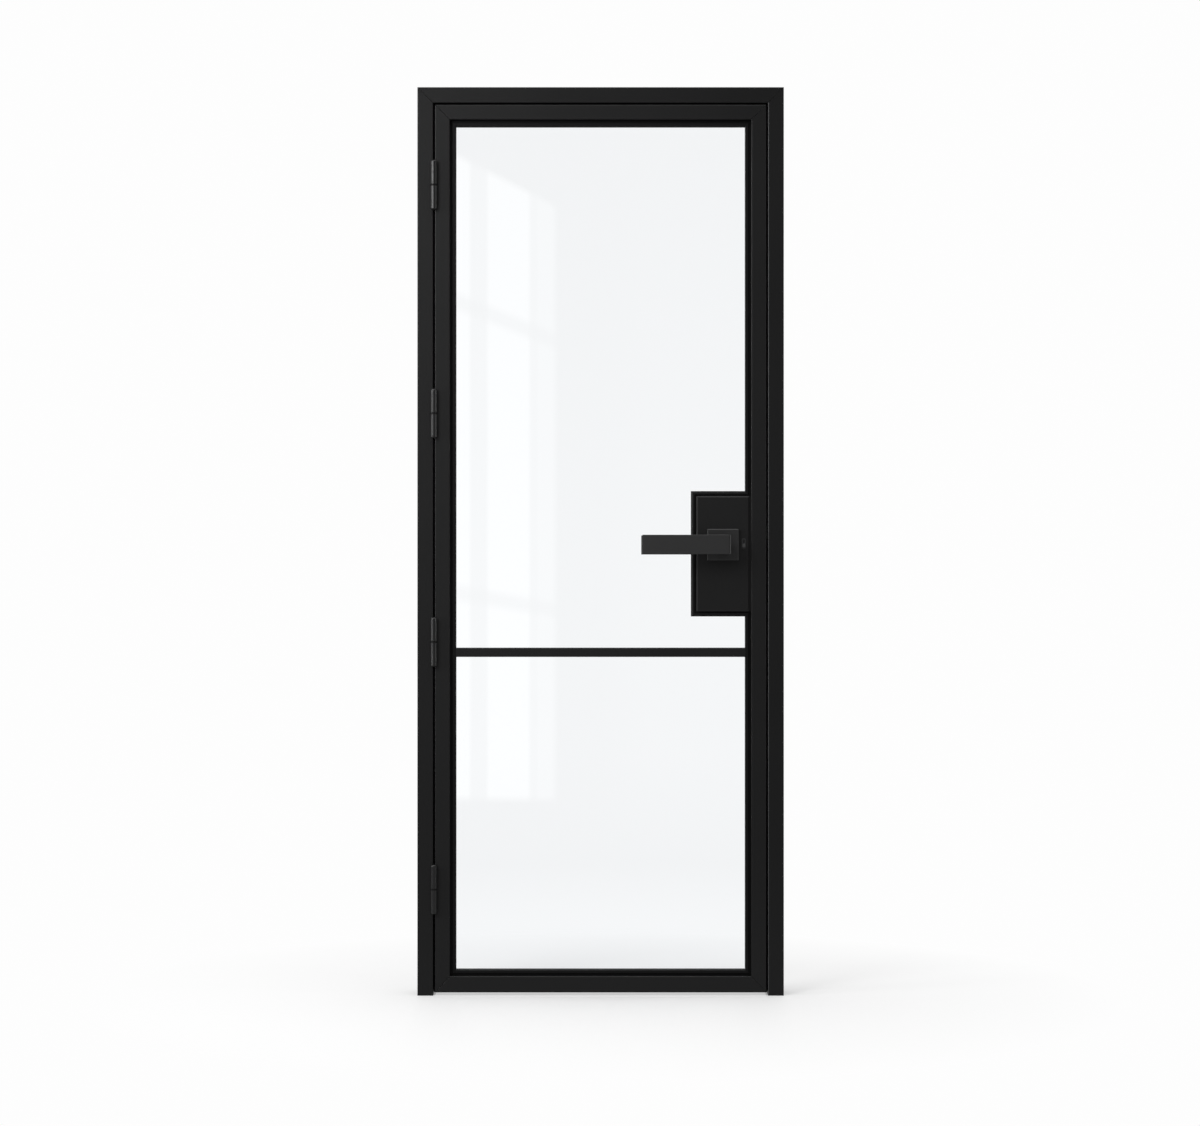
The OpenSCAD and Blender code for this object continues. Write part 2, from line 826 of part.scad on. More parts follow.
module box_bead_side() {
  upright_bead(box_x, sight_box_x, [box_bottom, box_top], [sight_box_bottom, sight_box_top],
               box_channel);
}

module box_bead_top() {
  level_bead(box_top, sight_box_top, [box_x, pane_x], [sight_box_x, sight_x], box_channel);
}

module box_bead_bottom() {
  level_bead(box_bottom, sight_box_bottom, [box_x, pane_x], [sight_box_x, sight_x], box_channel);
}

module glazing_screws() {
  color(black_satin) glazing_screw_set(0);
}

// ---- Lock box and latch ----

// Holes that the spindle and the rose bolts need through a wall between y0 and y1
module rose_holes(y0, y1, middle_r, extra) {
  rod([axis_x, y0, lever_z], [0, 1, 0], middle_r, y1 - y0);
  for (side = [-1, 1])
    rod([axis_x + side * bolt_pitch / 2, y0, lever_z], [0, 1, 0], sleeve_r + extra, y1 - y0);
}

module snib_slot(y0, y1, w, h, z) {
  upright(y0, y1) translate([snib_x, z]) capsule(w, h);
}

// Box welded to the lock stile, open towards it, with its own fin behind the glass
module lock_box() {
  color(black_coat) difference() {
    union() {
      upright(-box_y, box_y) rect([box_x, box_bottom], [pane_x, box_top]);
      upright(seat_y, fin_back)
        rect([sight_box_x, sight_box_bottom], [sight_x, sight_box_top]);
    }
    block([box_x + box_wall, -box_y + box_wall, box_bottom + box_wall],
          [pane_x + over, box_y - box_wall, box_top - box_wall]);
    rose_holes(-box_y - over, box_y + over, neck_r + 1, hole_fit);
    snib_slot(-box_y - over, 0, slot_w, slot_h, snib_z);
    glazing_screw_set(run_fit);
  }
}

// A cover plate: side -1 is the front one
module cover_plate(side) {
  near = min(side * box_y, side * cover_y);
  color(black_coat) difference() {
    translate([0, side * box_y, 0]) mirror([0, side < 0 ? 1 : 0, 0])
      bevelled_plate([box_x, box_bottom], [cover_x, box_top], cover_t, cover_bevel);
    rose_holes(near - over, near + cover_t + over, neck_r + 1, hole_fit);
    if (side < 0) snib_slot(near - over, near + cover_t + over, slot_w, slot_h, snib_z);
  }
}

module lock_cover_front() {
  cover_plate(-1);
}

module lock_cover_rear() {
  cover_plate(1);
}

module latch_case() {
  front = leaf_x - rail_wall;
  low = lever_z - case_h / 2;
  high = lever_z + case_h / 2;
  guide_x = axis_x + 32;
  color(zinc) difference() {
    union() {
      difference() {
        block([case_x, -case_y, low], [front, case_y, high]);
        block([case_x + case_wall, -case_y + case_wall, low + case_wall],
              [front - case_wall, case_y - case_wall, high - case_wall]);
      }
      // bridge that guides the latch's tail
      block([guide_x, -case_y + case_wall / 2, latch_z - tail_h],
            [guide_x + 3, case_y - case_wall / 2, latch_z + tail_h]);
    }
    sideways(guide_x - over, guide_x + 3 + over)
      rect([-tail_t / 2 - slide_fit, latch_z - tail_h / 2 - slide_fit],
           [tail_t / 2 + slide_fit, latch_z + tail_h / 2 + slide_fit]);
    sideways(front - case_wall - over, front + over) latch_window(slide_fit);
    rod([axis_x, -case_y - over, lever_z], [0, 1, 0], hub_r + run_fit, case_t + 2 * over);
    for (side = [-1, 1])
      rod([axis_x + side * bolt_pitch / 2, -case_y - over, lever_z], [0, 1, 0],
          sleeve_r + hole_fit, case_t + 2 * over);
  }
}

module latch_faceplate() {
  color(black_satin) difference() {
    sideways(leaf_x - rail_wall, leaf_x) difference() {
      rect([-face_w / 2, lever_z - face_h / 2], [face_w / 2, lever_z + face_h / 2]);
      latch_window(slide_fit);
    }
    faceplate_screw_set(run_fit);
  }
}

module faceplate_screws() {
  color(black_satin) faceplate_screw_set(0);
}

// Head with its bevel towards the stop, a flat tail, and the lug that the follower pushes
module latch_bolt() {
  half = latch_t / 2;
  color(black_satin) union() {
    translate([0, 0, latch_z - latch_h / 2]) linear_extrude(latch_h)
      polygon([[latch_back, -half], [leaf_x + latch_throw, -half],
               [leaf_x + latch_throw, -half + 2], [leaf_x + 1.5, half], [latch_back, half]]);
    block([tail_x, -tail_t / 2, latch_z - tail_h / 2],
          [latch_back, tail_t / 2, latch_z + tail_h / 2]);
    block([tail_x, -tail_t / 2, lever_z + 13], [tail_x + lug_w, tail_t / 2, latch_z]);
    rod([tail_x - 10, 0, latch_z], [1, 0, 0], 3, 10);
  }
}

// Coil spring from the case's back wall to the tail, as a swept ring
spring_turns = 7;
spring_sides = 8;
spring_steps = 16;
function spring_ring(i) =
  let (n = spring_turns * spring_steps,
       x0 = case_x + case_wall + wire_r,
       x1 = tail_x - wire_r,
       a = 360 * i / spring_steps)
  [for (j = [0:spring_sides - 1])
    let (b = 360 * j / spring_sides, r = spring_r + wire_r * cos(b))
    [x0 + (x1 - x0) * i / n + wire_r * sin(b), r * cos(a), latch_z + r * sin(a)]];

module latch_spring() {
  n = spring_turns * spring_steps;
  m = spring_sides;
  points = [for (i = [0:n]) each spring_ring(i)];
  walls = [for (i = [0:n - 1], j = [0:m - 1])
    [i * m + j, i * m + (j + 1) % m, (i + 1) * m + (j + 1) % m, (i + 1) * m + j]];
  first = [for (j = [0:m - 1]) m - 1 - j];
  last = [for (j = [0:m - 1]) n * m + j];
  color(zinc) polyhedron(points = points, faces = concat([first], walls, [last]));
}

// Hub on the spindle with the arm that draws the latch back
module latch_follower() {
  inner = case_y - case_wall - slide_fit;
  color(zinc) difference() {
    union() {
      rod([axis_x, -case_y, lever_z], [0, 1, 0], hub_r, case_t);
      rod([axis_x, -inner, lever_z], [0, 1, 0], follower_r, 2 * inner);
      block([axis_x - arm_w / 2, -inner, lever_z], [axis_x + arm_w / 2, inner, lever_z + arm_r]);
    }
    spindle_hole(case_y + over);
  }
}

module spindle_hole(reach) {
  half = spindle_w / 2 + run_fit;
  upright(-reach, reach) translate([axis_x, lever_z]) square(2 * half, center = true);
}

// ---- Roses, levers and snib ----

// Bearing plate of a rose; side -1 is the front one
module rose_base(side) {
  color(zinc) difference() {
    rod([axis_x, side * cover_y, lever_z], [0, side, 0], rose_base_r, rose_base_t);
    rod([axis_x, side * (cover_y - over), lever_z], [0, side, 0],
        neck_r + run_fit, rose_base_t + 2 * over);
    for (hand = [-1, 1]) {
      rod([axis_x + hand * bolt_pitch / 2, side * (cover_y - over), lever_z], [0, side, 0],
          sleeve_r + hole_fit, rose_base_t + 2 * over);
      rod([axis_x + hand * bolt_pitch / 2, side * (cover_y + rose_base_t - 3), lever_z],
          [0, side, 0], bolt_head_r + hole_fit, 3 + over);
    }
  }
}

module rose_base_front() {
  rose_base(-1);
}

module rose_base_rear() {
  rose_base(1);
}

// Square cap over a bearing plate, with a bevelled border
module rose_cover(side) {
  wall = 1.5;
  outer = rose_w / 2;
  inner = outer - wall;
  color(black_satin) translate([axis_x, side * cover_y, lever_z])
    mirror([0, side < 0 ? 1 : 0, 0]) difference() {
      bevelled_plate([-outer, -outer], [outer, outer], rose_t, rose_bevel);
      block([-inner, -over, -inner], [inner, rose_t - wall, inner]);
      rod([0, 0, 0], [0, 1, 0], neck_r + 0.6, rose_t + over);
    }
}

module rose_cover_front() {
  rose_cover(-1);
}

module rose_cover_rear() {
  rose_cover(1);
}

// Two bolts from the front rose, each in a sleeve nut from the rear one
module through_bolts() {
  end = cover_y + rose_base_t;
  for (hand = [-1, 1]) color(zinc) translate([axis_x + hand * bolt_pitch / 2, 0, lever_z]) {
    rod([0, -end, 0], [0, 1, 0], bolt_r, 2 * end - 8);
    rod([0, -end, 0], [0, 1, 0], bolt_head_r, 3);
    difference() {
      union() {
        rod([0, 2, 0], [0, 1, 0], sleeve_r, end - 2);
        rod([0, end - 3, 0], [0, 1, 0], bolt_head_r, 3);
      }
      rod([0, 2 - over, 0], [0, 1, 0], bolt_r + run_fit, end - 6);
    }
  }
}

module spindle() {
  reach = lever_y - lever_t - 4;
  color(zinc) upright(-reach, reach) translate([axis_x, lever_z])
    square(spindle_w, center = true);
}

grub_y = (lever_y - lever_t + cover_y + rose_t) / 2;

// Flat bar on a round neck; side -1 is the front one
module lever(side) {
  back = lever_y - lever_t;
  left = lever_past - lever_l;
  color(black_satin) difference() {
    union() {
      translate([axis_x, 0, lever_z]) mirror([0, side < 0 ? 1 : 0, 0]) intersection() {
        // the bar seen from above, round at the end past the neck
        translate([0, 0, -lever_h]) linear_extrude(2 * lever_h) union() {
          rect([left, back], [lever_past - lever_end_r, lever_y]);
          rect([left, back], [lever_past, lever_y - lever_end_r]);
          translate([lever_past - lever_end_r, lever_y - lever_end_r]) circle(lever_end_r);
        }
        // the bar seen from its end
        sideways(left - over, lever_past + over)
          soft_rect([back, -lever_h / 2], [lever_y, lever_h / 2], 1);
      }
      rod([axis_x, side * neck_end, lever_z], [0, side, 0], neck_r, back - neck_end + over);
    }
    intersection() {
      spindle_hole(back - 3);
      block([0, side > 0 ? 0 : -lever_y, 0], [leaf_x, side > 0 ? lever_y : 0, leaf_top]);
    }
    rod([axis_x, side * grub_y, lever_z - spindle_w / 2], [0, 0, -1], grub_r + run_fit, neck_r);
  }
}

module lever_front() {
  lever(-1);
}

module lever_rear() {
  lever(1);
}

module lever_set_screws() {
  low = lever_z - neck_r + 0.4;
  for (side = [-1, 1])
    color(zinc) difference() {
      rod([axis_x, side * grub_y, low], [0, 0, 1], grub_r,
          lever_z - spindle_w / 2 - run_fit - low);
      socket([axis_x, side * grub_y, low], [0, 0, 1], 1.4, 2.5);
    }
}

module snib_plate() {
  color(black_satin) difference() {
    snib_slot(-cover_y - snib_t, -cover_y, snib_w, snib_h, snib_z);
    snib_slot(-cover_y - snib_t - over, -cover_y + over, slot_w, slot_h, snib_z);
  }
}

// Thumb piece in front, stem through the slot, and the plate that keeps it in and the slot shut
module snib_slider() {
  stem_w = slot_w - 0.4;
  stem_h = slot_h - snib_throw - 1;
  low = snib_z - snib_throw / 2;
  front = -cover_y - snib_t;
  inner = -box_y + box_wall;
  color(zinc) {
    snib_slot(front - 3, front - 0.1, slot_w + 2.4, stem_h + 1.5, low);
    snib_slot(front - 1, inner + 1, stem_w, stem_h, low);
    upright(inner + 0.1, inner + 1.6) translate([snib_x, low])
      square([8, slot_h + snib_throw + 2], center = true);
  }
}

hinge_jamb();
strike_jamb();
frame_head();
weather_seal();
strike_plate();
strike_box();
strike_screws();
hinge_half(hinge_zs[0], -1);  // hinge_1_frame_half
hinge_half(hinge_zs[1], -1);  // hinge_2_frame_half
hinge_half(hinge_zs[2], -1);  // hinge_3_frame_half
hinge_half(hinge_zs[3], -1);  // hinge_4_frame_half
hinge_half(hinge_zs[0], 1);  // hinge_1_leaf_half
hinge_half(hinge_zs[1], 1);  // hinge_2_leaf_half
hinge_half(hinge_zs[2], 1);  // hinge_3_leaf_half
hinge_half(hinge_zs[3], 1);  // hinge_4_leaf_half
hinge_pins();
hinge_washers();
hinge_frame_screws();
hinge_leaf_screws();
hinge_stile();
lock_stile();
top_rail();
bottom_rail();
glazing_bar();
glazing_bar_cap();
upper_glass();
lower_glass();
upper_gasket();
lower_gasket();
bead_hinge_side();
bead_top();
bead_bottom();
bead_above_lock();
bead_below_lock();
box_bead_side();
box_bead_top();
box_bead_bottom();
glazing_screws();
lock_box();
lock_cover_front();
lock_cover_rear();
latch_case();
latch_faceplate();
faceplate_screws();
latch_bolt();
latch_spring();
latch_follower();
rose_base_front();
rose_base_rear();
rose_cover_front();
rose_cover_rear();
through_bolts();
spindle();
lever_front();
lever_rear();
lever_set_screws();
snib_plate();
snib_slider();
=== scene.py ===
import math

import bmesh
import bpy
import numpy as np
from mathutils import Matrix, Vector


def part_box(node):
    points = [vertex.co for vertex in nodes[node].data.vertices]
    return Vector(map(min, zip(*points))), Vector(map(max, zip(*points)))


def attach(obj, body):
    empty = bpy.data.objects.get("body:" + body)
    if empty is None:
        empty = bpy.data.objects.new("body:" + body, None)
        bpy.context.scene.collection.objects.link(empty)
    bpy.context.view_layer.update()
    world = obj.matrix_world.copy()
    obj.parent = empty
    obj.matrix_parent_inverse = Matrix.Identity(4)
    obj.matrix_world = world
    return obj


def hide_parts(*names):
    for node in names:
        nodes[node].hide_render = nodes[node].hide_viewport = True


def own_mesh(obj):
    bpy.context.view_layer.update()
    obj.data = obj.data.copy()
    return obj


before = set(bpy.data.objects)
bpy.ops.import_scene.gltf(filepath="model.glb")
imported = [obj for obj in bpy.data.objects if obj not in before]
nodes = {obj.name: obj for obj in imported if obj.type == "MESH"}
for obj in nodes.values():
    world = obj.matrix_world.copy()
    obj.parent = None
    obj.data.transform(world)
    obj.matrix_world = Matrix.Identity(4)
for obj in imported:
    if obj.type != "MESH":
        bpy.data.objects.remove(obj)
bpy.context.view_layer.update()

print("frame loaded:", len(nodes), "nodes")


# one socket of a node tree; sums and products on it add Math nodes
class Wire:
    def __init__(self, finish, socket):
        self.finish = finish
        self.socket = socket

    def math(self, operation, *others):
        return self.finish.node("ShaderNodeMath", {"operation": operation}, (self,) + others)

    def __add__(self, other):
        return self.math("ADD", other)

    def __radd__(self, other):
        return self.math("ADD", other)

    def __sub__(self, other):
        return self.math("SUBTRACT", other)

    def __rsub__(self, other):
        return self.finish.node("ShaderNodeMath", {"operation": "SUBTRACT"}, (other, self))

    def __mul__(self, other):
        return self.math("MULTIPLY", other)

    def __rmul__(self, other):
        return self.math("MULTIPLY", other)

    def __truediv__(self, other):
        return self.math("DIVIDE", other)

    def clamped(self):
        return self.finish.node("ShaderNodeMath", {"operation": "MULTIPLY", "use_clamp": True}, (self, 1.0))


# a material, or the world, under construction
class Finish:
    def __init__(self, owner):
        owner.use_nodes = True
        self.owner = owner
        self.tree = owner.node_tree
        self.tree.nodes.clear()

    # adds any node: its settings first, then the values or links of its sockets; gives its output
    def node(self, kind, settings=None, inputs=(), output=0):
        made = self.tree.nodes.new(kind)
        for name, value in (settings or {}).items():
            setattr(made, name, value)
        pairs = inputs.items() if isinstance(inputs, dict) else enumerate(inputs)
        for key, value in pairs:
            if isinstance(value, Wire):
                self.tree.links.new(value.socket, made.inputs[key])
            else:
                made.inputs[key].default_value = value
        return Wire(self, made.outputs[output])

    def place(self):
        return self.node("ShaderNodeTexCoord", output="Object")

    def along(self, where, axis):
        return self.node("ShaderNodeSeparateXYZ", inputs={0: where}, output=axis)

    # soft random field from 0 to 1; size is the size of its blobs in metres
    def cloud(self, where, size, detail=2.0, roughness=0.5):
        return self.node("ShaderNodeTexNoise", {"noise_dimensions": "3D"},
                         {"Vector": where, "Scale": 1 / size, "Detail": detail,
                          "Roughness": roughness}, output="Fac")

    # a mix of two colours; 6 and 7 are the Mix node's colour inputs, and 2 is its colour output
    def mix(self, share, first, second):
        return self.node("ShaderNodeMix", {"data_type": "RGBA"},
                         {"Factor": share, 6: first, 7: second}, output=2)

    def bump(self, height, strength, distance):
        return self.node("ShaderNodeBump",
                         inputs={"Strength": strength, "Distance": distance, "Height": height})

    def finished(self, shader, kind="ShaderNodeOutputMaterial"):
        made = self.tree.nodes.new(kind)
        self.tree.links.new(shader.socket, made.inputs["Surface"])
        return self.owner


def newFinish(name):
    return Finish(bpy.data.materials.new(name))


def plain(value):
    return (value, value, value, 1.0)


# a black that leans very slightly to blue
def coolGrey(value):
    return (value, value, value * 1.03, 1.0)


coatLook = {"dark": 0.0052, "light": 0.0066, "roughness": 0.40, "gloss": 0.25, "peelSize": 0.0011,
            "peel": 0.22, "peelDepth": 0.00012, "peelRough": 0.08, "patchSize": 0.22, "patchRough": 0.06}


# 1 inside any of the boxes, each given as the range of one or more of X, Y and Z; a range that ends
# a metre past the piece is open on that side
def insideAny(f, where, boxes):
    share = 0.0
    for box in boxes:
        inside = 1.0
        for axis, (low, high) in box.items():
            value = f.along(where, axis)
            inside = value.math("GREATER_THAN", low) * value.math("LESS_THAN", high) * inside
        share = inside.math("MAXIMUM", share)
    return share


# the slow patches and the orange peel that every powder coat has
def coatFields(f, where):
    return f.cloud(where, coatLook["patchSize"], 3.0), f.cloud(where, coatLook["peelSize"], 2.0)


def coatColour(f, patch, tone):
    return f.mix(patch, coolGrey(coatLook["dark"] * tone), coolGrey(coatLook["light"] * tone))


def coatShader(f, colour, patch, peel, roughness, gloss):
    look = coatLook
    rough = roughness + (peel - 0.5) * look["peelRough"] + (patch - 0.5) * look["patchRough"]
    return f.finished(f.node("ShaderNodeBsdfPrincipled", inputs={
        "Base Color": colour, "Roughness": rough, "Specular IOR Level": gloss,
        "Normal": f.bump(peel, look["peel"], look["peelDepth"])}))


# satin powder coat; inside the given boxes its colour is paler, a painted highlight on arrises and bevels
def powderCoat(name, tone=1.0, paintedHighlight=(), highlightTone=1.0):
    f = newFinish(name)
    where = f.place()
    patch, peel = coatFields(f, where)
    colour = coatColour(f, patch, tone)
    if paintedHighlight:
        colour = f.mix(insideAny(f, where, paintedHighlight), colour, coolGrey(coatLook["light"] * highlightTone))
    return coatShader(f, colour, patch, peel, coatLook["roughness"], coatLook["gloss"])


beadLook = {"channel": 0.27, "ridge": 0.82, "boxRidgeHighlight": 1.35, "soft": 0.001, "roughness": 0.5,
            "gloss": 0.12}


# the glazing beads' coat: darker in the channel behind the raised edge as painted shade, where little light
# gets in
def beadCoat(name, ridgeTone):
    look = beadLook
    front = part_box("bead_top")[0].y
    f = newFinish(name)
    where = f.place()
    patch, peel = coatFields(f, where)
    ridge = ((front + 2 * look["soft"] - f.along(where, "Y")) / look["soft"]).clamped()
    colour = f.mix(ridge, coatColour(f, patch, look["channel"]), coatColour(f, patch, ridgeTone))
    return coatShader(f, colour, patch, peel, look["roughness"], look["gloss"])


satinLook = {"squeeze": 0.06, "streakSize": 0.0007, "streak": 0.12, "streakDepth": 0.00008, "shade": 0.14,
             "streakRough": 0.12, "patchSize": 0.05, "patchRough": 0.05, "gloss": 0.5}


# Brushed and lacquered black: short streaks along one axis. Inside the given boxes it is matt,
# and its colour darker as painted shade.
def satinMetal(name, tone, roughness, axis, mattShadeBoxes=(), shadeTone=1.0):
    look = satinLook
    f = newFinish(name)
    where = f.place()
    squeeze = tuple(look["squeeze"] if letter == axis else 1.0 for letter in "xyz")
    drawn = f.node("ShaderNodeMapping", inputs={"Vector": where, "Scale": squeeze})
    streak = f.cloud(drawn, look["streakSize"], 3.0, 0.6)
    patch = f.cloud(where, look["patchSize"], 2.0)
    colour = f.mix(streak, coolGrey(tone * (1 - look["shade"])), coolGrey(tone * (1 + look["shade"])))
    rough = roughness + (streak - 0.5) * look["streakRough"] + (patch - 0.5) * look["patchRough"]
    if mattShadeBoxes:
        shadedShare = insideAny(f, where, mattShadeBoxes)
        colour = f.mix(shadedShare, colour, coolGrey(tone * shadeTone))
        rough = rough + (1 - rough) * shadedShare
    return f.finished(f.node("ShaderNodeBsdfPrincipled", inputs={
        "Base Color": colour, "Roughness": rough, "Specular IOR Level": look["gloss"],
        "Normal": f.bump(streak, look["streak"], look["streakDepth"])}))


hingeLook = {"tone": 0.006, "roughness": 0.31, "jointHalf": 0.0024, "jointShadeTone": 0.1}


# the bands where the two knuckles of each hinge meet; the hinge finish paints them dark as the shade in the
# gap
def hingeJoints():
    bands = []
    for name in nodes:
        if name.endswith("_frame_half"):
            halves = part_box(name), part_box(name.replace("frame", "leaf"))
            middle = (min(low.z for low, high in halves) + max(high.z for low, high in halves)) / 2
            bands.append({"Z": (middle - hingeLook["jointHalf"], middle + hingeLook["jointHalf"])})
    return bands


zincLook = {"tone": 0.55, "roughness": 0.34, "bloomSize": 0.012, "bloomRough": 0.2, "grainSize": 0.0006,
            "grain": 0.15, "grainDepth": 0.00006, "dark": (0.9, 0.9, 0.87), "light": (1.1, 1.1, 1.14)}


# zinc plate: bright, cloudy, with fine grain; the darker clouds lean to yellow, the paler ones to blue
def platedSteel(name, tone, roughness):
    look = zincLook
    f = newFinish(name)
    where = f.place()
    bloom = f.cloud(where, look["bloomSize"], 4.0, 0.65)
    grain = f.cloud(where, look["grainSize"], 2.0)
    dark, light = [tuple(tone * part for part in look[side]) + (1,) for side in ("dark", "light")]
    return f.finished(f.node("ShaderNodeBsdfPrincipled", inputs={
        "Base Color": f.mix(bloom, dark, light), "Metallic": 1.0,
        "Roughness": roughness + (bloom - 0.5) * look["bloomRough"],
        "Normal": f.bump(grain, look["grain"], look["grainDepth"])}))


rubberLook = {"dark": 0.010, "light": 0.020, "roughness": 0.72, "dustRough": 0.16, "dustSize": 0.004,
              "dust": 0.2, "dustDepth": 0.00015}


# matt extruded rubber
def sealRubber(name):
    look = rubberLook
    f = newFinish(name)
    dust = f.cloud(f.place(), look["dustSize"], 4.0, 0.6)
    return f.finished(f.node("ShaderNodeBsdfPrincipled", inputs={
        "Base Color": f.mix(dust, coolGrey(look["dark"]), coolGrey(look["light"])),
        "Roughness": look["roughness"] + (dust - 0.5) * look["dustRough"],
        "Normal": f.bump(dust, look["dust"], look["dustDepth"])}))


paneLook = {"tint": (0.984, 0.991, 0.997, 1), "ior": 1.5, "waveSize": 0.35, "waveDepth": 0.00008}


# Float glass: lets light through with a light tint and mirrors by Fresnel's rule. Light isn't bent
# on its way in, so on the way out the index is turned over to give the same share as on the way in.
def floatGlass(name):
    f = newFinish(name)
    wave = f.cloud(f.place(), paneLook["waveSize"], 1.0)
    normal = f.bump(wave, 1.0, paneLook["waveDepth"])
    clear = f.node("ShaderNodeBsdfTransparent", inputs={"Color": paneLook["tint"]})
    mirror = f.node("ShaderNodeBsdfGlossy", inputs={"Color": (1, 1, 1, 1), "Roughness": 0.0,
                                                    "Normal": normal})
    leaving = f.node("ShaderNodeNewGeometry", output="Backfacing")
    index = paneLook["ior"] + leaving * (1 / paneLook["ior"] - paneLook["ior"])
    share = f.node("ShaderNodeFresnel", inputs={"IOR": index})
    return f.finished(f.node("ShaderNodeMixShader", inputs={0: share, 1: clear, 2: mirror}))


# sizes and tones of the paler coat that stands as a painted highlight on the strike jamb's arris and the
# cover plates' bevels
paintedHighlightLook = {"face": 0.036, "arris": 0.002, "strikeHighlightTone": 6.5, "bevel": 0.0026, "coverHighlightTone": 2.0,
              "margin": 0.0001}


# the strike jamb's front arris beside the gap, painted paler as a highlight
def strikeArrisHighlight():
    look = paintedHighlightLook
    low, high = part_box("strike_jamb")
    reveal = high.x - look["face"]
    return [{"X": (reveal + look["margin"], reveal + look["arris"]),
             "Y": (low.y - 1, low.y + look["arris"])}]


# the bevels round the lock's cover plates, which have none beside the stile; painted paler as highlights
def coverBevelHighlights():
    look = paintedHighlightLook
    low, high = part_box("lock_cover_front")
    return [{"X": (low.x - 1, low.x + look["bevel"])}, {"Z": (low.z - 1, low.z + look["bevel"])},
            {"Z": (high.z - look["bevel"], high.z + 1)}]


finishes = {
    "frame": powderCoat("frameCoat"),
    "strikeJamb": powderCoat("strikeJambCoat", paintedHighlight=strikeArrisHighlight(), highlightTone=paintedHighlightLook["strikeHighlightTone"]),
    "leaf": powderCoat("leafCoat", 1.2),
    "lock": powderCoat("lockCoat", 1.25, paintedHighlight=coverBevelHighlights(), highlightTone=paintedHighlightLook["coverHighlightTone"]),
    # the lock box shows only in the narrow recess round its cover plates; its darker coat is painted shade
    # there
    "lockBox": powderCoat("lockBoxCoat", 0.5),
    "bead": beadCoat("beadCoat", beadLook["ridge"]),
    # the box beads' raised edge is paler than the other beads' as a painted highlight
    "boxBead": beadCoat("boxBeadCoat", beadLook["boxRidgeHighlight"]),
    "bar": powderCoat("barCoat", 1.2),
    "rose": satinMetal("roseBlack", 0.0095, 0.42, "x"),
    "lever": satinMetal("leverBlack", 0.0145, 0.38, "x"),
    "hinge": satinMetal("hingeBlack", hingeLook["tone"], hingeLook["roughness"], "z", hingeJoints(),
                        hingeLook["jointShadeTone"]),
    "blackened": satinMetal("blackenedSteel", 0.006, 0.45, "z"),
    "plated": platedSteel("platedSteel", zincLook["tone"], zincLook["roughness"]),
    "spring": platedSteel("springWire", 0.3, 0.3),
    "snib": satinMetal("snibGrey", 0.045, 0.35, "z"),
    "rubber": sealRubber("sealRubber"),
    "glass": floatGlass("floatGlass"),
}
print("finishes made:", len(finishes))


def finishOf(name):
    if name == "strike_jamb":
        return "strikeJamb"
    if name in ("hinge_jamb", "frame_head"):
        return "frame"
    if name in ("hinge_stile", "lock_stile", "top_rail", "bottom_rail"):
        return "leaf"
    if name.startswith("lock_cover"):
        return "lock"
    if name == "lock_box":
        return "lockBox"
    if name.startswith("bead_"):
        return "bead"
    if name.startswith("box_bead"):
        return "boxBead"
    if name.startswith("glazing_bar"):
        return "bar"
    if name in ("strike_plate", "strike_screws", "latch_faceplate", "faceplate_screws", "latch_bolt",
                "glazing_screws"):
        return "blackened"
    if name.startswith("rose_cover") or name == "snib_plate":
        return "rose"
    if name in ("lever_front", "lever_rear"):
        return "lever"
    if name.startswith("hinge_") and name.endswith(("_half", "_washers")):
        return "hinge"
    if name in ("upper_glass", "lower_glass"):
        return "glass"
    if name.endswith("gasket") or name == "weather_seal":
        return "rubber"
    if name == "snib_slider":
        return "snib"
    return "spring" if name == "latch_spring" else "plated"


for name, part in nodes.items():
    part.data.materials.clear()
    part.data.materials.append(finishes[finishOf(name)])
    part.visible_shadow = finishOf(name) != "glass"
print("finishes set on the frame's nodes")


# Carries a closed section along the edges of an outline with square corners. A section point is
# (a, b, y): it lies a + b * reach in from each edge, at depth y. Corner k of the swept row is
# corner k of the outline, plus the inward normal of each of its two edges times that edge's offset.
# An open outline is cut square at its ends.
def sweptRows(section, corners, reaches, closed):
    section, corners = np.array(section, float), np.array(corners, float)
    edges = np.roll(corners, -1, axis=0) - corners
    if not closed:
        edges[-1] = edges[-2]
    lengths = np.linalg.norm(edges, axis=1)[:, None]
    inward = np.stack([-edges[:, 1], edges[:, 0]], axis=1) / lengths
    offsets = section[:, 0] + np.array(reaches, float)[:, None] * section[:, 1]
    here = inward[:, None, :] * offsets[:, :, None]
    before = np.roll(here, 1, axis=0)
    if not closed:
        before[0] = before[-1] = 0
    flat = corners[:, None, :] + here + before
    depth = np.broadcast_to(section[:, 2], flat.shape[:2])
    return np.stack([flat[..., 0], depth, flat[..., 1]], axis=-1)


# the quads between two rows of points, and round each row
def ringFaces(rows, points, closed, start=0):
    along, around = np.meshgrid(np.arange(rows if closed else rows - 1), np.arange(points), indexing="ij")
    nextAlong, nextAround = (along + 1) % rows, (around + 1) % points
    quads = [along * points + around, along * points + nextAround,
             nextAlong * points + nextAround, nextAlong * points + around]
    return np.stack(quads, axis=-1).reshape(-1, 4) + start


sharpAngle = math.radians(40)


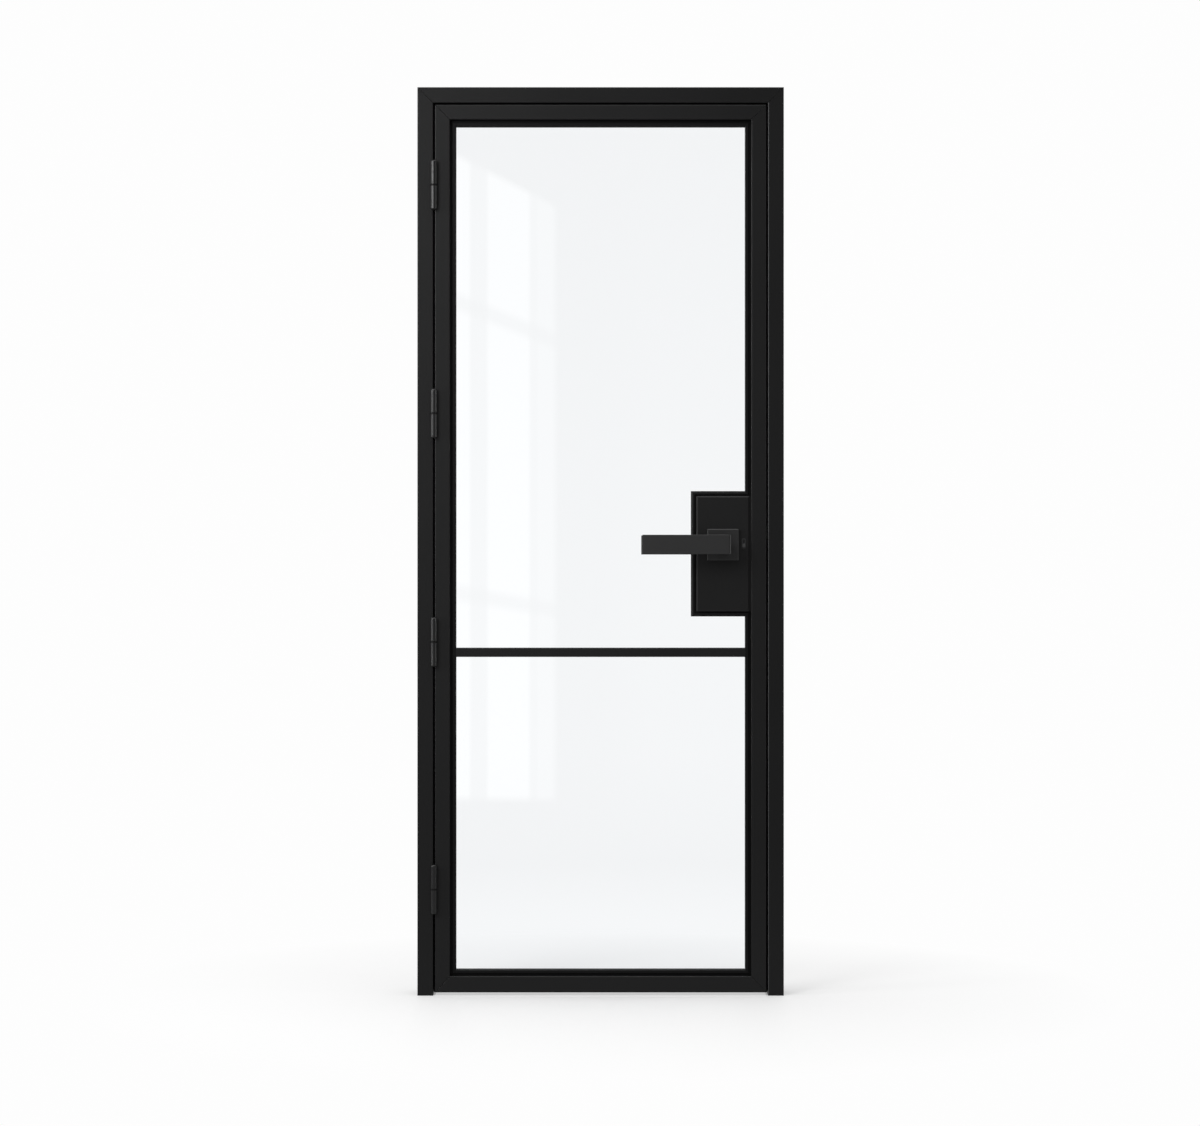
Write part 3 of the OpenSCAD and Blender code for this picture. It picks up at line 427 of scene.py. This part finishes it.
# makes the piece that stands for a node: faces outwards, smooth but for its corners
def addPiece(name, places, faces, finish, body, node):
    mesh = bpy.data.meshes.new(name)
    mesh.from_pydata(places.reshape(-1, 3).tolist(), [], faces)
    shape = bmesh.new()
    shape.from_mesh(mesh)
    bmesh.ops.recalc_face_normals(shape, faces=shape.faces)
    shape.to_mesh(mesh)
    shape.free()
    mesh.polygons.foreach_set("use_smooth", np.ones(len(mesh.polygons), bool))
    mesh.set_sharp_from_angle(angle=sharpAngle)
    mesh.materials.append(finishes[finish])
    piece = bpy.data.objects.new(name, mesh)
    bpy.context.scene.collection.objects.link(piece)
    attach(piece, body)
    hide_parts(node)
    return piece


def addSeal(name, rows, faces, body, node):
    return addPiece(name, rows, faces.tolist(), "rubber", body, node)


gasketLook = {"show": 0.0005, "steps": 8}


# A U of rubber round a pane's edge, with rounded lips that end just past the beads. Each lip is half a
# circle across the room between the pane's face and the gasket's.
def gasketSection(gasket, pane):
    low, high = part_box(gasket)
    paneLow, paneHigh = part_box(pane)
    clear = paneLow.x - low.x
    lip = (paneLow.y - low.y) / 2
    turn = np.linspace(-math.pi / 2, math.pi / 2, gasketLook["steps"] + 1)
    near = [(lip * (math.cos(t) - 1), 1, low.y + lip + lip * math.sin(t)) for t in turn]
    far = [(a, b, low.y + high.y - y) for a, b, y in reversed(near)]
    base = [(clear, 0, paneLow.y), (clear, 0, paneHigh.y)]
    return [(0, 0, low.y)] + near + base + far + [(0, 0, high.y)]


def makeGaskets():
    show = gasketLook["show"]
    low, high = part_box("upper_gasket")
    boxLow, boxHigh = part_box("lock_box")
    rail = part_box("bead_hinge_side")[1].x - low.x + show
    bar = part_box("glazing_bar_cap")[1].z - low.z + show
    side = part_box("lock_box")[0].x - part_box("box_bead_side")[0].x + show
    section = gasketSection("upper_gasket", "upper_glass")
    corners = [(low.x, low.z), (high.x, low.z), (high.x, boxLow.z), (boxLow.x, boxLow.z),
               (boxLow.x, boxHigh.z), (high.x, boxHigh.z), (high.x, high.z), (low.x, high.z)]
    rows = sweptRows(section, corners, [bar, rail, side, side, side, rail, rail, rail], True)
    addSeal("upperGasket", rows, ringFaces(len(corners), len(section), True), "leaf", "upper_gasket")
    low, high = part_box("lower_gasket")
    section = gasketSection("lower_gasket", "lower_glass")
    corners = [(low.x, low.z), (high.x, low.z), (high.x, high.z), (low.x, high.z)]
    rows = sweptRows(section, corners, [rail, rail, bar, rail], True)
    addSeal("lowerGasket", rows, ringFaces(len(corners), len(section), True), "leaf", "lower_gasket")


bulbLook = {"width": 0.008, "base": 0.001, "side": 0.0008, "wall": 0.0008, "sink": 0.0003, "steps": 24}


# A hollow half-round bulb on a flat base strip, up both jambs and across the head. The outer wall
# is half an ellipse across the strip; the hollow is a smaller one inside it. The hollow's floor has
# as many points as the strip, so that quads between the two outlines close the seal's ends.
def makeWeatherSeal():
    look = bulbLook
    low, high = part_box("weather_seal")
    width = look["width"]
    half = width / 2
    baseY = high.y - look["base"]
    reach, across = baseY - low.y, half - look["side"]
    turn = np.linspace(0, math.pi, look["steps"] + 1)
    bulb = [(half + across * math.cos(t), 0, baseY - reach * math.sin(t)) for t in turn]
    outer = [(0, 0, high.y), (width, 0, high.y), (width, 0, baseY)] + bulb + [(0, 0, baseY)]
    floorY = baseY + look["sink"]
    wide, deep = across - look["wall"], reach - look["wall"] + look["sink"]
    hollow = [(half + wide * math.cos(t), 0, floorY - deep * math.sin(t)) for t in turn]
    inner = [(half + wide * share, 0, floorY) for share in (-0.6, 0.6, 0.8)]
    inner = inner + hollow + [(half - wide * 0.8, 0, floorY)]
    corners = [(high.x, low.z), (high.x, high.z), (low.x, high.z), (low.x, low.z)]
    outerRows = sweptRows(outer, corners, [0] * 4, False)
    innerRows = sweptRows(inner, corners, [0] * 4, False)
    points, count = len(outer), outerRows[..., 0].size
    ends = len(corners)
    faces = [ringFaces(ends, points, False), ringFaces(ends, points, False, count)]
    here = np.arange(points)
    after = (here + 1) % points
    for first in (0, (ends - 1) * points):
        outside, nextOutside = first + here, first + after
        faces.append(np.stack([outside, nextOutside, count + nextOutside, count + outside], axis=-1))
    places = np.concatenate([outerRows, innerRows])
    addSeal("weatherSeal", places, np.concatenate(faces), "frame", "weather_seal")


springLook = {"turns": 7, "steps": 24, "sides": 10, "wire": 0.0007, "travel": 0.0126}


# The latch's coil spring: a ring of radius wire carried along a helix round X. It stays with the
# leaf. Its travel is a tenth of a millimetre more than the bolt's, so that the bolt never runs into it.
def makeLatchSpring():
    look = springLook
    low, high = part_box("latch_spring")
    wire, rows = look["wire"], look["turns"] * look["steps"] + 1
    share = np.linspace(0, 1, rows)[:, None]
    about = np.arange(look["sides"])[None, :] * 2 * math.pi / look["sides"]
    turn = 2 * math.pi * look["turns"] * share
    radius = (high.z - low.z) / 2 - wire + wire * np.cos(about)
    x = low.x + wire + (high.x - low.x - 2 * wire) * share + wire * np.sin(about)
    places = np.stack([x, radius * np.cos(turn), (low.z + high.z) / 2 + radius * np.sin(turn)], axis=-1)
    faces = ringFaces(rows, look["sides"], False).tolist()
    faces.append(list(range(look["sides"])))
    faces.append(list(range((rows - 1) * look["sides"], rows * look["sides"])))
    spring = addPiece("latchSpring", places, faces, "spring", "leaf", "latch_spring")
    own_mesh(spring)


makeGaskets()
makeWeatherSeal()
makeLatchSpring()
print("seals and spring made")


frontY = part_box("hinge_jamb")[0].y  # the frame's front, which the camera and the window stand off from


def onStage(name, mesh):
    made = bpy.data.objects.new(name, mesh)
    bpy.context.scene.collection.objects.link(made)
    return made


# 0 up to one value, 1 from the other on, and a straight rise between them
def ramp(value, low, high):
    return ((value - low) / (high - low)).clamped()


# 1 between two edges and 0 outside them, with soft edges
def between(value, low, high, soft):
    return ((value - low) / soft + 0.5).clamped() * ((high - value) / soft + 0.5).clamped()


def flatMesh(name, corners):
    mesh = bpy.data.meshes.new(name)
    mesh.from_pydata(corners, [], [(0, 1, 2, 3)])
    return mesh


floorLook = {"half": 14.0, "tone": 0.70, "dimTone": 0.30, "roughness": 0.55, "gloss": 0.4, "stretch": 0.8,
             "ownLight": 0.05, "fadeNear": 0.05, "fadeFar": 0.95, "gapFrom": 0.026, "gapTo": 0.04,
             "underLight": 0.55, "mirrorNear": 1.2, "mirrorFar": 2.4, "mirrorLevel": 0.5, "dimLevel": 0.25}


# Pale floor that runs out to the backdrop's own brightness away from the door, with a line of light
# under the leaf. Mirrors see it bright close by and as dim as the room further off, and it throws
# little light back up.
def makeFloor():
    look = floorLook
    half = look["half"]
    mesh = flatMesh("studioFloor", [(-half, -half, 0), (half, -half, 0), (half, half, 0), (-half, half, 0)])
    onStage("studioFloor", mesh)
    f = newFinish("floorPaint")
    where = f.place()
    apart = f.node("ShaderNodeVectorMath", {"operation": "MULTIPLY"},
                   {0: where, 1: (look["stretch"], 1, 0)})
    far = f.node("ShaderNodeVectorMath", {"operation": "LENGTH"}, {0: apart}, output="Value")
    share = ramp(far, look["fadeNear"], look["fadeFar"])
    share = look["ownLight"] + share * (1 - look["ownLight"])
    x = f.along(where, "X").math("ABSOLUTE")
    y = f.along(where, "Y").math("ABSOLUTE")
    under = 1 - ramp(y, look["gapFrom"], look["gapTo"])
    under = under * x.math("LESS_THAN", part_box("bottom_rail")[1].x) * look["underLight"]
    share = share.math("MAXIMUM", under)
    seen = f.node("ShaderNodeLightPath", output="Is Camera Ray")
    mirrored = f.node("ShaderNodeLightPath", output="Is Glossy Ray")
    remote = ramp(far, look["mirrorNear"], look["mirrorFar"])
    mirrorLevel = look["mirrorLevel"] + (roomLook["front"] - look["mirrorLevel"]) * remote
    level = look["dimLevel"] + (mirrorLevel - look["dimLevel"]) * mirrored
    level = level + (roomLook["backdrop"] - level) * seen
    tone = f.mix(seen, plain(look["dimTone"]), plain(look["tone"]))
    paint = f.node("ShaderNodeBsdfPrincipled", inputs={
        "Base Color": tone, "Roughness": look["roughness"], "Specular IOR Level": look["gloss"]})
    light = f.node("ShaderNodeEmission", inputs={"Color": (1, 1, 1, 1), "Strength": level})
    share = share + (1 - share) * mirrored
    mesh.materials.append(f.finished(f.node("ShaderNodeMixShader", inputs={0: share, 1: paint, 2: light})))


roomLook = {"backdrop": 0.985, "front": 0.13, "side": 0.75, "top": 1.0, "sideRange": (-0.7, 0.5),
            "topRange": (0.35, 0.95)}


# Room light: bright above and behind, dim on the camera's side. The camera sees a plain backdrop. Each
# range gives the direction's share of Y or Z where a level starts and where the next is reached.
def makeRoom():
    world = bpy.data.worlds.new("studio")
    bpy.context.scene.world = world
    f = Finish(world)
    way = f.node("ShaderNodeTexCoord", output="Generated")
    look = roomLook
    behind = look["front"] + ramp(f.along(way, "Y"), *look["sideRange"]) * (look["side"] - look["front"])
    level = behind + (look["top"] - behind) * ramp(f.along(way, "Z"), *look["topRange"])
    seen = f.node("ShaderNodeLightPath", output="Is Camera Ray")
    strength = level + (look["backdrop"] - level) * seen
    f.finished(f.node("ShaderNodeBackground", inputs={"Color": (1, 1, 1, 1), "Strength": strength}),
               "ShaderNodeOutputWorld")


# A tall window and a soft wash of wall light that only mirrors show. The window's panes are given on
# the door's own plane, in metres: uprights by their x, rows by their slope towards the point where
# the rows would meet.
windowLook = {"ahead": 2.6, "cardX": (-0.5, 0.5), "cardZ": (0.05, 2.3), "left": -0.36, "right": -0.104,
              "panes": ((-0.36, -0.296, 1.0), (-0.262, -0.160, 1.0), (-0.150, -0.104, 0.52)),
              "bars": ((0.394, 0.407), (0.165, 0.177)), "meetX": 2.579, "meetZ": 0.42, "bottom": 0.009,
              "top": 0.5155, "softX": 0.016, "softRow": 0.007, "strength": 1.05, "uprightShare": 0.38,
              "barShare": 0.42, "wash": 0.20, "washRight": 0.12, "washFrom": 0.0, "washTo": 0.12,
              "washLow": 0.42, "washHigh": 1.55, "washSoft": 0.25, "washFade": 1.1}


# Seen in the glass, a point of the card shows on the door's plane at its own place drawn towards the
# camera's axis by the share near, so x and z in the pattern are places on that plane.
def makeWindow():
    look = windowLook
    y = frontY - look["ahead"]
    near = cameraLook["distance"] / (cameraLook["distance"] + look["ahead"])
    across = cameraLook["x"] * (1 - near)
    upward = cameraLook["height"] * (1 - near)
    left, right = [(x - across) / near for x in look["cardX"]]
    bottom, top = [(z - upward) / near for z in look["cardZ"]]
    mesh = flatMesh("mirrorWindow",
                    [(left, y, bottom), (right, y, bottom), (right, y, top), (left, y, top)])
    card = onStage("mirrorWindow", mesh)
    for ray in ("camera", "diffuse", "transmission", "volume_scatter", "shadow"):
        setattr(card, "visible_" + ray, False)
    f = newFinish("windowLight")
    where = f.place()
    x = f.along(where, "X") * near + across
    z = f.along(where, "Z") * near + upward
    row = (z - look["meetZ"]) / (look["meetX"] - x)
    glow = between(x, look["left"], look["right"], look["softX"]) * look["uprightShare"]
    for low, high, share in look["panes"]:
        glow = glow.math("MAXIMUM", between(x, low, high, look["softX"]) * share)
    for low, high in look["bars"]:
        glow = glow * (1 - between(row, low, high, look["softRow"]) * (1 - look["barShare"]))
    glow = glow * between(row, look["bottom"], look["top"], look["softRow"])
    toRight = ramp(x, look["washFrom"], look["washTo"])
    fade = ((z - look["washLow"]) / look["washSoft"] + 0.5).clamped()
    fade = fade * ((look["washHigh"] - z) / look["washFade"] + 0.5).clamped()
    wash = (look["wash"] + toRight * look["washRight"]) * fade
    light = f.node("ShaderNodeEmission", inputs={"Color": (1, 1, 1, 1),
                                                 "Strength": glow * look["strength"] + wash})
    clear = f.node("ShaderNodeBsdfTransparent", inputs={"Color": (1, 1, 1, 1)})
    mesh.materials.append(f.finished(f.node("ShaderNodeAddShader", inputs={0: light, 1: clear})))


lightLook = {
    "keySoftbox": {"place": (-2.2, -2.8, 2.8), "aim": (0, 0, 1.2), "wide": 1.5, "tall": 1.5, "power": 75},
    "sideSoftbox": {"place": (-3.2, -1.1, 1.5), "aim": (0.2, 0, 1.3), "wide": 0.6, "tall": 2.2,
                    "power": 45},
    "topSoftbox": {"place": (0, -0.6, 4.2), "aim": (0, 0, 0), "wide": 3.0, "tall": 3.0, "power": 50},
    "edgeSoftbox": {"place": (2.6, -0.5, 1.3), "aim": (0, 0, 1.1), "wide": 0.4, "tall": 2.0, "power": 10},
}


# a softbox that faces its aim and stays upright
def areaLight(name, place, aim, wide, tall, power):
    data = bpy.data.lights.new(name, "AREA")
    data.shape = "RECTANGLE"
    data.size = wide
    data.size_y = tall
    data.energy = power
    lamp = bpy.data.objects.new(name, data)
    bpy.context.scene.collection.objects.link(lamp)
    lamp.location = place
    lamp.visible_camera = False
    way = np.array(aim, float) - np.array(place, float)
    flat = math.hypot(way[0], way[1])
    lamp.rotation_euler = (math.atan2(flat, -way[2]), 0, math.atan2(way[1], way[0]) - math.pi / 2)


cameraLook = {"distance": 5.6, "frameWidth": 2.7337, "height": 0.9857, "x": -0.0014, "sensor": 36.0,
              "clipEnd": 60.0}


def makeCamera():
    data = bpy.data.cameras.new("frontCamera")
    data.sensor_fit = "HORIZONTAL"
    data.sensor_width = cameraLook["sensor"]
    data.lens = cameraLook["sensor"] * cameraLook["distance"] / cameraLook["frameWidth"]
    data.clip_end = cameraLook["clipEnd"]
    camera = bpy.data.objects.new("frontCamera", data)
    bpy.context.scene.collection.objects.link(camera)
    camera.location = (cameraLook["x"], frontY - cameraLook["distance"], cameraLook["height"])
    camera.rotation_euler = (math.pi / 2, 0, 0)
    bpy.context.scene.camera = camera


makeFloor()
makeRoom()
makeWindow()
makeCamera()
for name, look in lightLook.items():
    areaLight(name, **look)
bpy.context.scene.view_settings.view_transform = "Standard"
print("stage, lights and camera ready")
